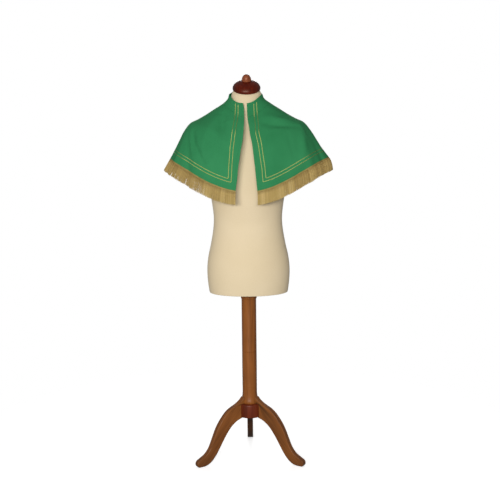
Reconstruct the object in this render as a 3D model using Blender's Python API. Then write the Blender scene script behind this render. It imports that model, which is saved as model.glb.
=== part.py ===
"""Altar server cape: green cloth, stand collar, gold braid and a gold fringe, on a limbless dress form.

Metres, +Z up. The cape opens at -Y, its front, and the wearer's right is at -X. The origin is on the
floor, at the middle of the whole thing's footprint; the post of the stand is a little ahead of it.
"""

import math
import random
from collections import namedtuple

import bmesh
import bpy
from mathutils import Matrix, Vector

MM = 0.001
AXIS_Y = -42 * MM  # from the middle of the footprint to the axis of the post

CLOTH = 2.0 * MM
GAP = 0.3 * MM  # between pieces that are sewn or set together
REST_GAP = 0.85 * MM  # between the form's shoulders and the cloth that lies on them

CAPE_LENGTH = 305 * MM  # from the neck seam to the hem, down the side

BRAID_WIDTH = 3.0 * MM
BRAID_THICK = 0.8 * MM
BRAID_PITCH = 12 * MM  # from the outer line of braid to the inner one
BRAID_ABOVE_HEM = 30 * MM

FRINGE_PITCH = 6.2 * MM
FRINGE_HEAD = 5.5 * MM
FRINGE_LENGTH = 49 * MM
FRINGE_SPREAD = 1.5 * MM  # how far the ends of the strands differ in length
FRINGE_HEAD_GAP = 0.4 * MM
FRINGE_TAPER = 0.62  # a strand's end against its root
# How far the strands follow the slope of the cloth above them, at the sides and at the front and back.
FOLLOW_RIGHT = 1.2
FOLLOW_LEFT = 0.5
FOLLOW_MIDDLE = 0.45

LEG_THICK = 24 * MM
LEG_ROUNDING = 5 * MM
LEG_ANGLES = {"leg_front_right": -60, "leg_front_left": 60, "leg_rear": 180}

NECK_TILT = math.radians(24)  # the flat top of the neck leans forward
NECK_TOP_Y = -4 * MM
NECK_TOP_Z = 1492 * MM
NECK_TOP_RADIUS = 50 * MM

# The cape's outer face, in millimetres, as rings round the body. down is measured from the neck seam
# along the shoulder. right and left are half widths, front and back are depths, each with its height.
# The edges and lines are those of the front opening: x of the edge, then the braid's distance from it.
# The climbs say how soon a ring rises from the back, or from the right or left half of the front, to
# the sides: 0 is a plain cone.
Ring = namedtuple(
    "Ring",
    "down right left side_z front front_z back back_z right_edge left_edge right_line left_line"
    " back_climb right_climb left_climb",
)
RINGS = [
    Ring(-42, 68, 61, 1475, 71, 1439, 66, 1491, -14, 1, 22, 27, -1.00, -0.85, 0.20),
    Ring(-26, 74, 69, 1457, 75, 1420, 70, 1476, -11, 1, 23, 27, -0.60, -0.20, 0.40),
    Ring(0, 94, 95, 1438, 88, 1388, 83, 1448, -10, 2, 24, 27, 0.00, 0.35, 0.60),
    Ring(40, 128, 128, 1417, 112, 1355, 105, 1417, -11, 7, 28, 25, 0.30, 0.35, 0.70),
    Ring(81, 163, 163, 1395, 134, 1320, 120, 1379, -14, 12, 31, 22, 0.40, 0.35, 0.70),
    Ring(114, 192, 192, 1379, 148, 1290, 129, 1345, -18, 18, 31, 22, 0.40, 0.35, 0.70),
    Ring(147, 222, 222, 1364, 158, 1260, 135, 1311, -24, 22, 29, 23, 0.40, 0.35, 0.70),
    Ring(185, 247, 249, 1333, 165, 1222, 141, 1269, -30, 26, 26, 24, 0.40, 0.35, 0.70),
    Ring(220, 264, 272, 1301, 168, 1187, 146, 1229, -35, 30, 24, 25, 0.40, 0.35, 0.70),
    Ring(260, 282, 295, 1266, 170, 1150, 151, 1180, -39, 33, 22, 25, 0.40, 0.35, 0.70),
    Ring(305, 302, 320, 1229, 171, 1108, 155, 1125, -45, 37, 21, 25, 0.40, 0.35, 0.70),
    Ring(320, 309, 328, 1217, 171, 1093, 156, 1108, -46, 38, 21, 25, 0.40, 0.35, 0.70),
]

# Soft folds of the hanging cloth, each along a line from one place on the cape to another. Angles are
# in degrees from the front, minus to the wearer's right; down, width and height are in millimetres.
# A ring's radius for this, where a fold's width is measured, grows with the distance down.
FOLD_RADIUS = 95
FOLD_RADIUS_GROWTH = 0.68
FOLD_SWELL = 1.3  # a fold grows with this power of the way down it
Fold = namedtuple("Fold", "angle_top down_top angle_end down_end width height")
FOLDS = [
    Fold(-66, 110, -50, 305, 24, -8.0),
    Fold(-76, 140, -67, 305, 22, 6.5),
    Fold(-36, 180, -31, 305, 26, 4.5),
    Fold(60, 120, 49, 305, 24, 7.5),
    Fold(73, 150, 66, 305, 22, -6.5),
    Fold(30, 190, 26, 305, 26, -3.5),
    Fold(30, 20, 66, 124, 14, 4.4),
    Fold(18, 28, 66, 172, 12, -4.6),
    Fold(-70, 136, -22, 108, 24, 4.5),
    Fold(68, 134, 38, 302, 17, 4.6),
    Fold(97, 158, 84, 304, 24, -6.0),
    Fold(-110, 140, -116, 305, 25, -8.0),
    Fold(-132, 160, -137, 305, 27, 7.5),
    Fold(-156, 130, -160, 305, 28, -7.0),
    Fold(178, 140, 177, 305, 30, 7.0),
    Fold(154, 150, 153, 305, 27, -8.0),
    Fold(130, 140, 127, 305, 28, 8.0),
    Fold(109, 160, 105, 305, 24, -7.5),
]

# Rings of the grid that the cloth is built on, in millimetres from the neck seam. Between the front
# edge and the shoulder seam, and between that seam and the middle of the back, the columns are even.
COLLAR_ROWS = [-42, -33, -24, -13]
SHOULDER_ROWS = [18, 38, 58, 80, 102, 124, 142, 158]
SKIRT_ROWS = [178, 201, 224, 245]
BORDER_ROW = 291  # between the braid and the hem
FRONT_COLUMNS = 12
BACK_COLUMNS = 14

# The dress form, in millimetres: half width, depths and heights of its own rings.
Section = namedtuple("Section", "side side_z front front_z back back_z")
NECK_SECTIONS = [
    Section(57.5, 1478, 53, 1461, 54, 1494),
    Section(61, 1463, 57, 1441, 58, 1480),
    Section(62.5, 1450, 60, 1417, 60, 1464),
    Section(66, 1440, 63, 1396, 65, 1449),
    Section(79, 1432, 69, 1376, 74, 1434),
]
# Where the cape lies on the shoulders: the side comes from the cape at this distance down.
Rest = namedtuple("Rest", "down front front_z back back_z")
SHOULDER_SECTIONS = [
    Rest(18, 75, 1360, 82, 1417),
    Rest(38, 82, 1342, 89, 1398),
    Rest(58, 90, 1324, 95, 1378),
    Rest(80, 97, 1303, 100, 1356),
    Rest(102, 103, 1280, 105, 1332),
    Rest(124, 108, 1257, 108, 1307),
    Rest(142, 112, 1237, 110, 1286),
]
TORSO_SECTIONS = [
    Section(215, 1345, 116, 1206, 111, 1252),
    Section(201, 1315, 118, 1180, 110, 1222),
    Section(186, 1280, 119, 1152, 108, 1190),
    Section(175, 1240, 118, 1122, 104, 1155),
    Section(166, 1190, 114, 1085, 99, 1112),
    Section(156, 1130, 107, 1045, 93, 1062),
    Section(144, 1065, 99, 1010, 88, 1018),
    Section(136, 1000, 93, 975, 85, 978),
    Section(138, 950, 94, 938, 87, 940),
    Section(148, 890, 101, 886, 95, 886),
    Section(160, 835, 109, 834, 103, 834),
    Section(165, 785, 112, 785, 107, 785),
    Section(163, 735, 110, 735, 106, 735),
    Section(157, 690, 105, 690, 102, 690),
]
FORM_CLIMB = 0.38
FORM_COLUMNS = 36

# Turned wood, in millimetres: radius and height up the axis.
Turn = namedtuple("Turn", "radius height")
POST_TURNS = [
    Turn(34.5, 230.3),
    Turn(35.5, 236),
    Turn(33.0, 246),
    Turn(30.8, 258),
    Turn(29.5, 276),
    Turn(29.5, 295),
    Turn(28.6, 297),
    Turn(29.5, 299),
    Turn(29.5, 444),
    Turn(28.3, 446),
    Turn(29.5, 448),
    Turn(29.5, 664),
    Turn(32.0, 668),
    Turn(32.0, 689.7),
]
HUB_TURNS = [Turn(45.5, 174.5), Turn(49.5, 178.5), Turn(49.5, 226), Turn(46.5, 230)]
CAP_TURNS = [
    Turn(50.5, 0.3),
    Turn(53.4, 1.8),
    Turn(54.3, 4.5),
    Turn(54, 8.5),
    Turn(52.6, 13),
    Turn(50, 17.5),
    Turn(46.2, 22),
    Turn(41, 26),
    Turn(34.5, 29.4),
    Turn(27, 32.2),
    Turn(20, 34.2),
    Turn(15.2, 35.6),
]
KNOB_TURNS = [
    Turn(16.8, 36),
    Turn(18.2, 37.2),
    Turn(18.4, 40),
    Turn(17.8, 44),
    Turn(16.6, 48.5),
    Turn(14.2, 53.5),
    Turn(10.4, 58.2),
    Turn(4.8, 61.2),
]

# One leg, in millimetres: distance from the post's axis and height, along its top and its underside.
Spot = namedtuple("Spot", "out up")
LEG_TOP = [
    Spot(22, 258),
    Spot(34, 256),
    Spot(47, 243),
    Spot(66, 230),
    Spot(102.5, 211),
    Spot(129.5, 184),
    Spot(154.5, 148),
    Spot(173.5, 106),
    Spot(189.5, 70),
    Spot(208, 46.5),
    Spot(230, 32.5),
    Spot(241, 26.5),
]
LEG_TOE = [Spot(247.5, 20), Spot(249.7, 12), Spot(247.8, 4.5), Spot(242, 0)]
LEG_UNDER = [
    Spot(219, 0),
    Spot(203, 4),
    Spot(188, 12.5),
    Spot(175, 25),
    Spot(160, 44),
    Spot(145, 68),
    Spot(121, 107),
    Spot(96, 140),
    Spot(69.5, 161.5),
    Spot(44, 171.5),
    Spot(22, 174.5),
]


def clear_scene():
    for thing in list(bpy.data.objects):
        bpy.data.objects.remove(thing)


def plain_material(name, colour, roughness, metallic=0.0):
    """A Principled material; colour is sRGB, 0 to 255."""
    material = bpy.data.materials.new(name)
    material.use_nodes = True
    shader = material.node_tree.nodes["Principled BSDF"]
    linear = [(part / 255) ** 2.2 for part in colour]
    shader.inputs["Base Color"].default_value = (*linear, 1)
    shader.inputs["Roughness"].default_value = roughness
    shader.inputs["Metallic"].default_value = metallic
    material.diffuse_color = (*linear, 1)
    return material


def new_piece(name, points, faces, material, parent, smooth=True):
    mesh = bpy.data.meshes.new(name)
    mesh.from_pydata([tuple(point) for point in points], [], faces)
    work = bmesh.new()
    work.from_mesh(mesh)
    bmesh.ops.recalc_face_normals(work, faces=work.faces)
    work.to_mesh(mesh)
    work.free()
    mesh.materials.append(material)
    if smooth:
        mesh.shade_smooth()
        mesh.set_sharp_from_angle(angle=math.radians(40))
    piece = bpy.data.objects.new(name, mesh)
    piece.parent = parent
    bpy.context.collection.objects.link(piece)
    return piece


def smooth_row(table, column, value):
    """The row of the table at this value of one column, on a smooth curve through its rows."""
    keys = [getattr(row, column) for row in table]
    index = max(i for i in range(len(keys) - 1) if keys[i] <= value or i == 0)
    low, high = table[index], table[index + 1]
    step = keys[index + 1] - keys[index]
    share = (value - keys[index]) / step

    def slope(at):
        before, after = max(at - 1, 0), min(at + 1, len(keys) - 1)
        run = keys[after] - keys[before]
        return [(b - a) * step / run for a, b in zip(table[before], table[after])]

    square, cube = share * share, share**3
    starts, ends = slope(index), slope(index + 1)
    return type(low)(
        *(
            a * (2 * cube - 3 * square + 1)
            + m * (cube - 2 * square + share)
            + b * (3 * square - 2 * cube)
            + n * (cube - square)
            for a, b, m, n in zip(low, high, starts, ends)
        )
    )


def climb(angle, amount):
    """The share of a ring's climb that is done at this angle: 0 at the front or back, 1 at the sides."""
    side = math.sin(angle) ** 2
    return side * (1 + amount * (1 - side))


def fold_height(angle, down):
    """How far the folds push the cloth out at a place on the cape, in millimetres."""
    height = 0.0
    radius = FOLD_RADIUS + FOLD_RADIUS_GROWTH * down
    for fold in FOLDS:
        lean = math.radians(fold.angle_end - fold.angle_top)
        run = Vector((lean * radius, fold.down_end - fold.down_top))
        turn = (angle - math.radians(fold.angle_top) + math.pi) % (2 * math.pi) - math.pi
        place = Vector((turn * radius, down - fold.down_top))
        along = place.dot(run) / run.length_squared
        across = (place - run * along).length
        along = max(0.0, min(1.0, along))
        reaches_hem = fold.down_end >= CAPE_LENGTH / MM
        strength = along**FOLD_SWELL if reaches_hem else math.sin(math.pi * along)
        height += fold.height * strength * math.exp(-((across / fold.width) ** 2))
    return height


def smooth_cape(angle, down):
    """A point of the cape's outer face before its folds, in millimetres."""
    ring = smooth_row(RINGS, "down", down)
    half_width = ring.right if angle < 0 else ring.left
    ahead = math.cos(angle) > 0
    depth = ring.front if ahead else ring.back
    end_z = ring.front_z if ahead else ring.back_z
    amount = ring.back_climb
    if ahead:
        amount = ring.right_climb if angle < 0 else ring.left_climb
    return Vector(
        (
            half_width * math.sin(angle),
            -depth * math.cos(angle),
            end_z + (ring.side_z - end_z) * climb(angle, amount),
        )
    )


def normal_of(surface, angle, down):
    turn, reach = math.radians(0.4), 0.5
    across = surface(angle + turn, down) - surface(angle - turn, down)
    along = surface(angle, down + reach) - surface(angle, down - reach)
    return along.cross(across).normalized()


def folded_cape(angle, down):
    out = normal_of(smooth_cape, angle, down)
    return smooth_cape(angle, down) + out * fold_height(angle, down)


def cape_point(angle, down, out):
    """A point of the cape in metres, out metres proud of its outer face."""
    point = folded_cape(angle, down)
    return point * MM + normal_of(folded_cape, angle, down) * out


def column_angles(down):
    """Angles of the grid's columns on one ring, from the right front edge round the back to the left."""
    ring = smooth_row(RINGS, "down", down)
    half_gap = GAP / MM / 2
    sides = []
    for half_width, edge, line in (
        (ring.right, -ring.right_edge, ring.right_line),
        (ring.left, ring.left_edge, ring.left_line),
    ):
        start = math.asin(edge / half_width)
        half_braid = BRAID_WIDTH / MM / 2
        inner = line + BRAID_PITCH / MM
        insets = [0, line / 2, line - half_braid, line + half_braid]
        insets += [inner - half_braid, inner + half_braid]
        angles = [start + inset / half_width for inset in insets]
        depth = (ring.front + ring.back) / 2
        seam = math.pi / 2 - half_gap / depth
        last = angles[-1]
        angles += [last + (seam - last) * (i + 1) / FRONT_COLUMNS for i in range(FRONT_COLUMNS)]
        behind = math.pi - seam
        angles += [behind + (math.pi - behind) * i / BACK_COLUMNS for i in range(BACK_COLUMNS)]
        sides.append(angles)
    right, left = sides
    return [-angle for angle in right] + [math.pi] + left[::-1]


SEAM_COLUMN = 6 + FRONT_COLUMNS  # first column behind the right shoulder seam
OUTER_COLUMN, INNER_COLUMN = 2, 4  # first column of each line of braid


def grid_rows():
    half_gap = GAP / MM / 2
    rows = COLLAR_ROWS + [-half_gap, half_gap] + SHOULDER_ROWS + SKIRT_ROWS
    outer = (CAPE_LENGTH - BRAID_ABOVE_HEM) / MM
    half_braid = BRAID_WIDTH / MM / 2
    inner = outer - BRAID_PITCH / MM
    rows += [inner - half_braid, inner + half_braid, outer - half_braid, outer + half_braid]
    return rows + [BORDER_ROW, CAPE_LENGTH / MM]


def shell_of_cells(name, cells, low, high, angles, rows, material, parent):
    """A closed sheet over the given cells of the cape's grid, from low to high above its outer face."""
    cells = set(cells)
    index, points, faces = {}, [], []

    def corner(column, row, out):
        key = (column, row, out)
        if key not in index:
            index[key] = len(points)
            points.append(cape_point(angles[row][column], rows[row], out))
        return index[key]

    for column, row in sorted(cells):
        around = [(column, row), (column + 1, row), (column + 1, row + 1), (column, row + 1)]
        faces.append([corner(c, r, high) for c, r in around])
        faces.append([corner(c, r, low) for c, r in reversed(around)])
        beside = [(column, row - 1), (column + 1, row), (column, row + 1), (column - 1, row)]
        for side, neighbour in enumerate(beside):
            if neighbour not in cells:
                start, end = around[side], around[(side + 1) % 4]
                edge = [corner(*start, high), corner(*start, low), corner(*end, low), corner(*end, high)]
                faces.append(edge)
    return new_piece(name, points, faces, material, parent)


def cells_between(first_column, last_column, first_row, last_row):
    return [(c, r) for c in range(first_column, last_column) for r in range(first_row, last_row)]


def build_cape(parent):
    rows = grid_rows()
    angles = [column_angles(down) for down in rows]
    last_column = len(angles[0]) - 1
    last_row = len(rows) - 1
    neck_row = len(COLLAR_ROWS)  # the last row of the collar, just above the neck seam
    far_seam = last_column - SEAM_COLUMN
    green = plain_material("green_cloth", (50, 125, 80), 0.75)
    panels = {
        "collar_band": cells_between(0, last_column, 0, neck_row),
        "front_panel_right": cells_between(0, SEAM_COLUMN - 1, neck_row + 1, last_row),
        "back_panel": cells_between(SEAM_COLUMN, far_seam, neck_row + 1, last_row),
        "front_panel_left": cells_between(far_seam + 1, last_column, neck_row + 1, last_row),
    }
    for name, cells in panels.items():
        shell_of_cells(name, cells, -CLOTH, 0.0, angles, rows, green, parent)

    gold = plain_material("gold_braid", (176, 176, 92), 0.45, 0.3)
    for name, column, row in (
        ("braid_outer", OUTER_COLUMN, last_row - 3),
        ("braid_inner", INNER_COLUMN, last_row - 5),
    ):
        mirrored = last_column - 1 - column
        cells = cells_between(column, column + 1, 1, row + 1)
        cells += cells_between(mirrored, mirrored + 1, 1, row + 1)
        cells += cells_between(column, mirrored + 1, row, row + 1)
        shell_of_cells(name, cells, GAP, GAP + BRAID_THICK, angles, rows, gold, parent)
    return angles[-1]


def build_fringe(hem_angles, parent):
    """A narrow head just below the hem, and strands that grow out of its lower edge."""
    chance = random.Random(7)
    hem = CAPE_LENGTH / MM
    head_top = hem + FRINGE_HEAD_GAP / MM
    head_end = head_top + FRINGE_HEAD / MM
    seams = (SEAM_COLUMN, len(hem_angles) - 1 - SEAM_COLUMN)
    angles = [angle for i, angle in enumerate(hem_angles) if i not in seams]
    lines = {
        (down, out): [cape_point(angle, down, out) for angle in angles]
        for down in (head_top, head_end)
        for out in (0.0, -CLOTH)
    }
    outer = lines[head_end, 0.0]
    reach = [0.0]
    for before, after in zip(outer, outer[1:]):
        reach.append(reach[-1] + (after - before).length)
    count = round(reach[-1] / FRINGE_PITCH)

    def on_line(line, distance):
        i = max(i for i in range(len(reach) - 1) if reach[i] <= distance)
        return line[i].lerp(line[i + 1], (distance - reach[i]) / (reach[i + 1] - reach[i]))

    points, faces = [], []
    for i in range(count + 1):
        distance = min(i * reach[-1] / count, reach[-1] * (1 - 1e-9))
        for key in ((head_top, 0.0), (head_top, -CLOTH), (head_end, -CLOTH), (head_end, 0.0)):
            points.append(on_line(lines[key], distance))
    for i in range(count):
        a, b = 4 * i, 4 * i + 4
        faces += [[a, b, b + 1, a + 1], [a + 1, b + 1, b + 2, a + 2], [a + 3, b + 3, b, a]]
    faces += [[0, 1, 2, 3], [4 * count + k for k in (3, 2, 1, 0)]]
    roots = list(points)
    for i in range(count):
        a, b = 4 * i, 4 * i + 4
        root = [a + 3, b + 3, b + 2, a + 2]
        middle = sum((roots[k] for k in root), Vector()) / 4
        cloth_way = (roots[a + 3] + roots[b + 3] - roots[a] - roots[b]).normalized()
        side_share = math.sin(math.atan2(middle.x, middle.y)) ** 2
        follow_side = FOLLOW_RIGHT if middle.x < 0 else FOLLOW_LEFT
        follow = follow_side * side_share + FOLLOW_MIDDLE * (1 - side_share)
        way = (cloth_way * follow + Vector((0, 0, -1)) * (FOLLOW_RIGHT - follow)).normalized()
        length = FRINGE_LENGTH + chance.uniform(-FRINGE_SPREAD, FRINGE_SPREAD)
        tip_middle = middle + way * length
        along = (roots[b + 3] - roots[a + 3]).normalized()
        tip_middle += along * chance.uniform(-0.5, 0.5) * MM
        first = len(points)
        points += [tip_middle + (roots[k] - middle) * FRINGE_TAPER for k in root]
        tip = [first, first + 1, first + 2, first + 3]
        for k in range(4):
            after = (k + 1) % 4
            faces.append([root[k], root[after], tip[after], tip[k]])
        faces.append(tip)
    gold = plain_material("gold_fringe", (168, 143, 84), 0.6)
    new_piece("hem_fringe", points, faces, gold, parent, smooth=False)


def lofted(name, rings, material, parent):
    """A closed body through rings of points, with flat ends."""
    count = len(rings[0])
    points = [point for ring in rings for point in ring]
    faces = []
    for row in range(len(rings) - 1):
        for i in range(count):
            after = (i + 1) % count
            low, high = row * count, (row + 1) * count
            faces.append([low + i, low + after, high + after, high + i])
    faces.append(list(range(count))[::-1])
    faces.append([(len(rings) - 1) * count + i for i in range(count)])
    return new_piece(name, points, faces, material, parent)


def form_ring(section):
    ring = []
    for i in range(FORM_COLUMNS):
        angle = 2 * math.pi * i / FORM_COLUMNS
        ahead = math.cos(angle) > 0
        depth = section.front if ahead else section.back
        end_z = section.front_z if ahead else section.back_z
        height = end_z + (section.side_z - end_z) * climb(angle, FORM_CLIMB)
        ring.append(Vector((section.side * math.sin(angle), -depth * math.cos(angle), height)) * MM)
    return ring


def neck_ring():
    """The flat top of the neck, which leans forward."""
    ring = []
    for i in range(FORM_COLUMNS):
        angle = 2 * math.pi * i / FORM_COLUMNS
        flat = Vector((math.sin(angle), -math.cos(angle), 0)) * NECK_TOP_RADIUS
        flat.rotate(Matrix.Rotation(NECK_TILT, 3, "X"))
        ring.append(flat + Vector((0, NECK_TOP_Y, NECK_TOP_Z)))
    return ring


def build_form(parent):
    sections = list(NECK_SECTIONS)
    for rest in SHOULDER_SECTIONS:
        under = cape_point(math.pi / 2, rest.down, -CLOTH - REST_GAP) / MM
        sections.append(Section(under.x, under.z, rest.front, rest.front_z, rest.back, rest.back_z))
    sections += TORSO_SECTIONS
    rings = [neck_ring()] + [form_ring(section) for section in sections]
    cream = plain_material("cream_jersey", (226, 214, 178), 0.85)
    return lofted("dress_form", rings, cream, parent)


def turned(name, turns, material, parent, columns=24):
    """A closed turned body round the Z axis."""
    round_it = [2 * math.pi * i / columns for i in range(columns)]
    rings = [
        [Vector((turn.radius * math.cos(a), turn.radius * math.sin(a), turn.height)) * MM for a in round_it]
        for turn in turns
    ]
    return lofted(name, rings, material, parent)


def build_neck_cap(parent):
    mahogany = plain_material("mahogany", (92, 34, 20), 0.3)
    knob_wood = plain_material("knob_wood", (140, 80, 55), 0.3)
    pieces = (("neck_cap", CAP_TURNS, mahogany), ("neck_knob", KNOB_TURNS, knob_wood))
    for name, turns, wood in pieces:
        piece = turned(name, turns, wood, parent, columns=28)
        piece.location = (0, NECK_TOP_Y, NECK_TOP_Z)
        piece.rotation_euler = (NECK_TILT, 0, 0)


Numbered = namedtuple("Numbered", "place out up")


def leg_outline():
    """The board's outline in its own plane: the toe and the two long edges, smoothed."""
    outline = []
    for edge in (LEG_TOP, LEG_UNDER[::-1]):
        numbered = [Numbered(i, *spot) for i, spot in enumerate(edge)]
        steps = 2 * (len(edge) - 1)
        line = [smooth_row(numbered, "place", i / 2) for i in range(steps + 1)]
        line = [Spot(spot.out, spot.up) for spot in line]
        outline.append(line)
    top, under = outline
    return top + LEG_TOE + under[::-1]


def build_stand(parent):
    wood = plain_material("varnished_wood", (134, 80, 38), 0.35)
    dark_wood = plain_material("dark_hub_wood", (97, 43, 25), 0.35)
    turned("pole", POST_TURNS, wood, parent)
    turned("hub", HUB_TURNS, dark_wood, parent, columns=32)

    # The room that the legs leave for the hub and for the post's foot, GAP wider than both.
    clearance = GAP / MM
    bottom, *middle, top = [Turn(turn.radius + clearance, turn.height) for turn in HUB_TURNS]
    room = [Turn(0.5, bottom.height - LEG_THICK / MM), Turn(bottom.radius, bottom.height - clearance)]
    room += middle + [Turn(top.radius, top.height + clearance)]
    room += [Turn(turn.radius + clearance, turn.height + clearance) for turn in POST_TURNS[:8]]
    socket = turned("leg_socket_cutter", room, dark_wood, parent, columns=48)
    socket.hide_render = True
    socket.display_type = "WIRE"

    outline = leg_outline()
    half = LEG_THICK / 2
    for name, degrees in LEG_ANGLES.items():
        near = [Vector((-half, -spot.out * MM, spot.up * MM)) for spot in outline]
        far = [Vector((half, -spot.out * MM, spot.up * MM)) for spot in outline]
        leg = lofted(name, [near, far], wood, parent)
        leg.rotation_euler = (0, 0, math.radians(degrees))
        rounding = leg.modifiers.new("rounded edges", "BEVEL")
        rounding.width = LEG_ROUNDING
        rounding.segments = 2
        rounding.limit_method = "ANGLE"
        rounding.angle_limit = math.radians(60)
        cut = leg.modifiers.new("socket", "BOOLEAN")
        cut.operation = "DIFFERENCE"
        cut.object = socket


clear_scene()
stand_axis = bpy.data.objects.new("stand_axis", None)
stand_axis.location = (0, AXIS_Y, 0)
bpy.context.collection.objects.link(stand_axis)
hem_line = build_cape(stand_axis)
build_fringe(hem_line, stand_axis)
build_form(stand_axis)
build_neck_cap(stand_axis)
build_stand(stand_axis)
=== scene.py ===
"""Altar server cape of green cloth with gold braid and fringe, on a limbless dress form with a wooden stand.

Metres, +Z up. The cape opens at -Y, its front, and the wearer's right is at -X.
"""

import math
from collections import namedtuple

import bmesh
import bpy
import numpy as np
from mathutils import Matrix, Vector


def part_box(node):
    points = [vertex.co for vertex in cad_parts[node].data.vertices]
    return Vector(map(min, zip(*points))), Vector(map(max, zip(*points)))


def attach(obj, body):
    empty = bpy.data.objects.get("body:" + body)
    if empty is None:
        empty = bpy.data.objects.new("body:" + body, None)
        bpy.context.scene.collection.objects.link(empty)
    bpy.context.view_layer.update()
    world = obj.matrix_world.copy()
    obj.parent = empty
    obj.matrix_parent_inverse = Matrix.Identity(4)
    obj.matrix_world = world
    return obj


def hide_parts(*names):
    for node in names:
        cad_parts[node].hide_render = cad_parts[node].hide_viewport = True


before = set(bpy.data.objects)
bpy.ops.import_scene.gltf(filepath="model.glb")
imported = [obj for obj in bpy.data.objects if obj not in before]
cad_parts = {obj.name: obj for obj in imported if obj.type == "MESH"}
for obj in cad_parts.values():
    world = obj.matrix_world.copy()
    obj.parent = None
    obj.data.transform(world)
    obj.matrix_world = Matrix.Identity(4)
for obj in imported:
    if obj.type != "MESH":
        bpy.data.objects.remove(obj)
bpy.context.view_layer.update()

# The legs: three beech boards sawn to a curve, rounded over at the edges and stained brown under a
# satin varnish. Each is glued and pegged to the hub, and its upper tip lies against the post's foot.
MM = 0.001
post_low, post_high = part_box("pole")
AXIS_Y = (post_low.y + post_high.y) / 2

LEG_TOP = [  # out from the post's axis, and up, along the board's upper edge
    (22, 258), (34, 256), (47, 243), (66, 230), (102.5, 211), (129.5, 184),
    (154.5, 148), (173.5, 106), (189.5, 70), (208, 46.5), (230, 32.5), (241, 26.5),
]
LEG_TOE = [
    (244.8, 23.6), (247.5, 20), (249.2, 16), (249.7, 12), (249.3, 8), (247.8, 4.5), (245.5, 1.8), (242, 0),
]
LEG_UNDER = [
    (219, 0), (203, 4), (188, 12.5), (175, 25), (160, 44), (145, 68),
    (121, 107), (96, 140), (69.5, 161.5), (44, 171.5), (22, 174.5),
]
LEG_THICK = 24
LEG_ROUNDING = 5.5
LEG_ANGLES = {"leg_front_right": -60, "leg_front_left": 60, "leg_rear": 180}


class Wire:
    """A socket of a material's nodes, on which + - * / and ** add Math nodes."""

    def __init__(self, finish, socket):
        self.finish = finish
        self.socket = socket

    def maths(self, operation, *values, clamped=False):
        settings = {"operation": operation, "use_clamp": clamped}
        return self.finish.node("ShaderNodeMath", settings, dict(enumerate(values)))

    def __add__(self, other):
        return self.maths("ADD", self, other)

    def __sub__(self, other):
        return self.maths("SUBTRACT", self, other)

    def __rsub__(self, other):
        return self.maths("SUBTRACT", other, self)

    def __mul__(self, other):
        return self.maths("MULTIPLY", self, other)

    def __truediv__(self, other):
        return self.maths("DIVIDE", self, other)

    def __pow__(self, other):
        return self.maths("POWER", self, other)

    __radd__ = __add__
    __rmul__ = __mul__

    def sine(self):
        return self.maths("SINE", self)

    def size(self):
        return self.maths("ABSOLUTE", self)

    def over(self, low, high):
        """0 below low and 1 above high, and a straight line between."""
        return self.maths("ADD", (self - low) / (high - low), 0.0, clamped=True)


class Finish:
    """One material: node() adds any node to it, and paint() sets what its shader shows."""

    def __init__(self, name):
        self.material = bpy.data.materials.new(name)
        self.material.use_nodes = True
        self.tree = self.material.node_tree
        self.shader = self.tree.nodes["Principled BSDF"]

    def node(self, kind, settings=None, inputs=None, output=0):
        made = self.tree.nodes.new(kind)
        for name, value in (settings or {}).items():
            setattr(made, name, value)
        for name, value in (inputs or {}).items():
            self.put(made.inputs[name], value)
        return Wire(self, made.outputs[output])

    def put(self, socket, value):
        if isinstance(value, Wire):
            self.tree.links.new(value.socket, socket)
        elif isinstance(value, tuple) and socket.type == "RGBA":
            socket.default_value = linear(value)
        else:
            socket.default_value = value

    def place(self):
        return self.node("ShaderNodeTexCoord", output="Object")

    def along(self, vector):
        """The three numbers of a vector."""
        return [self.node("ShaderNodeSeparateXYZ", inputs={0: vector}, output=i) for i in range(3)]

    def together(self, x, y, z=0.0):
        return self.node("ShaderNodeCombineXYZ", inputs={0: x, 1: y, 2: z})

    def scaled(self, vector, x, y, z):
        return self.node("ShaderNodeVectorMath", {"operation": "MULTIPLY"}, {0: vector, 1: (x, y, z)})

    def noise(self, vector, scale, detail=2.0, roughness=0.5):
        inputs = {"Vector": vector, "Scale": scale, "Detail": detail, "Roughness": roughness}
        return self.node("ShaderNodeTexNoise", {}, inputs)

    def mix(self, share, first, second):
        return self.node("ShaderNodeMix", {"data_type": "RGBA"}, {0: share, 6: first, 7: second}, 2)

    def ramp(self, factor, *stops):
        ramp = self.node("ShaderNodeValToRGB", inputs={0: factor})
        elements = ramp.socket.node.color_ramp.elements
        while len(elements) < len(stops):
            elements.new(0.5)
        for element, (place, colour) in zip(elements, stops):
            element.position, element.color = place, linear(colour)
        return ramp

    def stored(self, name):
        """The three numbers stored at each point."""
        return self.along(self.node("ShaderNodeAttribute", {"attribute_name": name}, output="Vector"))

    def bump(self, height, distance, strength=1.0):
        inputs = {"Height": height, "Distance": distance, "Strength": strength}
        return self.node("ShaderNodeBump", {}, inputs)

    def paint(self, **sockets):
        """Sockets of the shader by name, with _ for a space."""
        for name, value in sockets.items():
            self.put(self.shader.inputs[name.replace("_", " ")], value)
        return self.material


def linear(colour):
    """An sRGB colour, 0 to 255, as the linear colour that a socket takes."""
    parts = [part / 255 for part in colour[:3]]
    return (*(part / 12.92 if part <= 0.04045 else ((part + 0.055) / 1.055) ** 2.4 for part in parts), 1.0)


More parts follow.
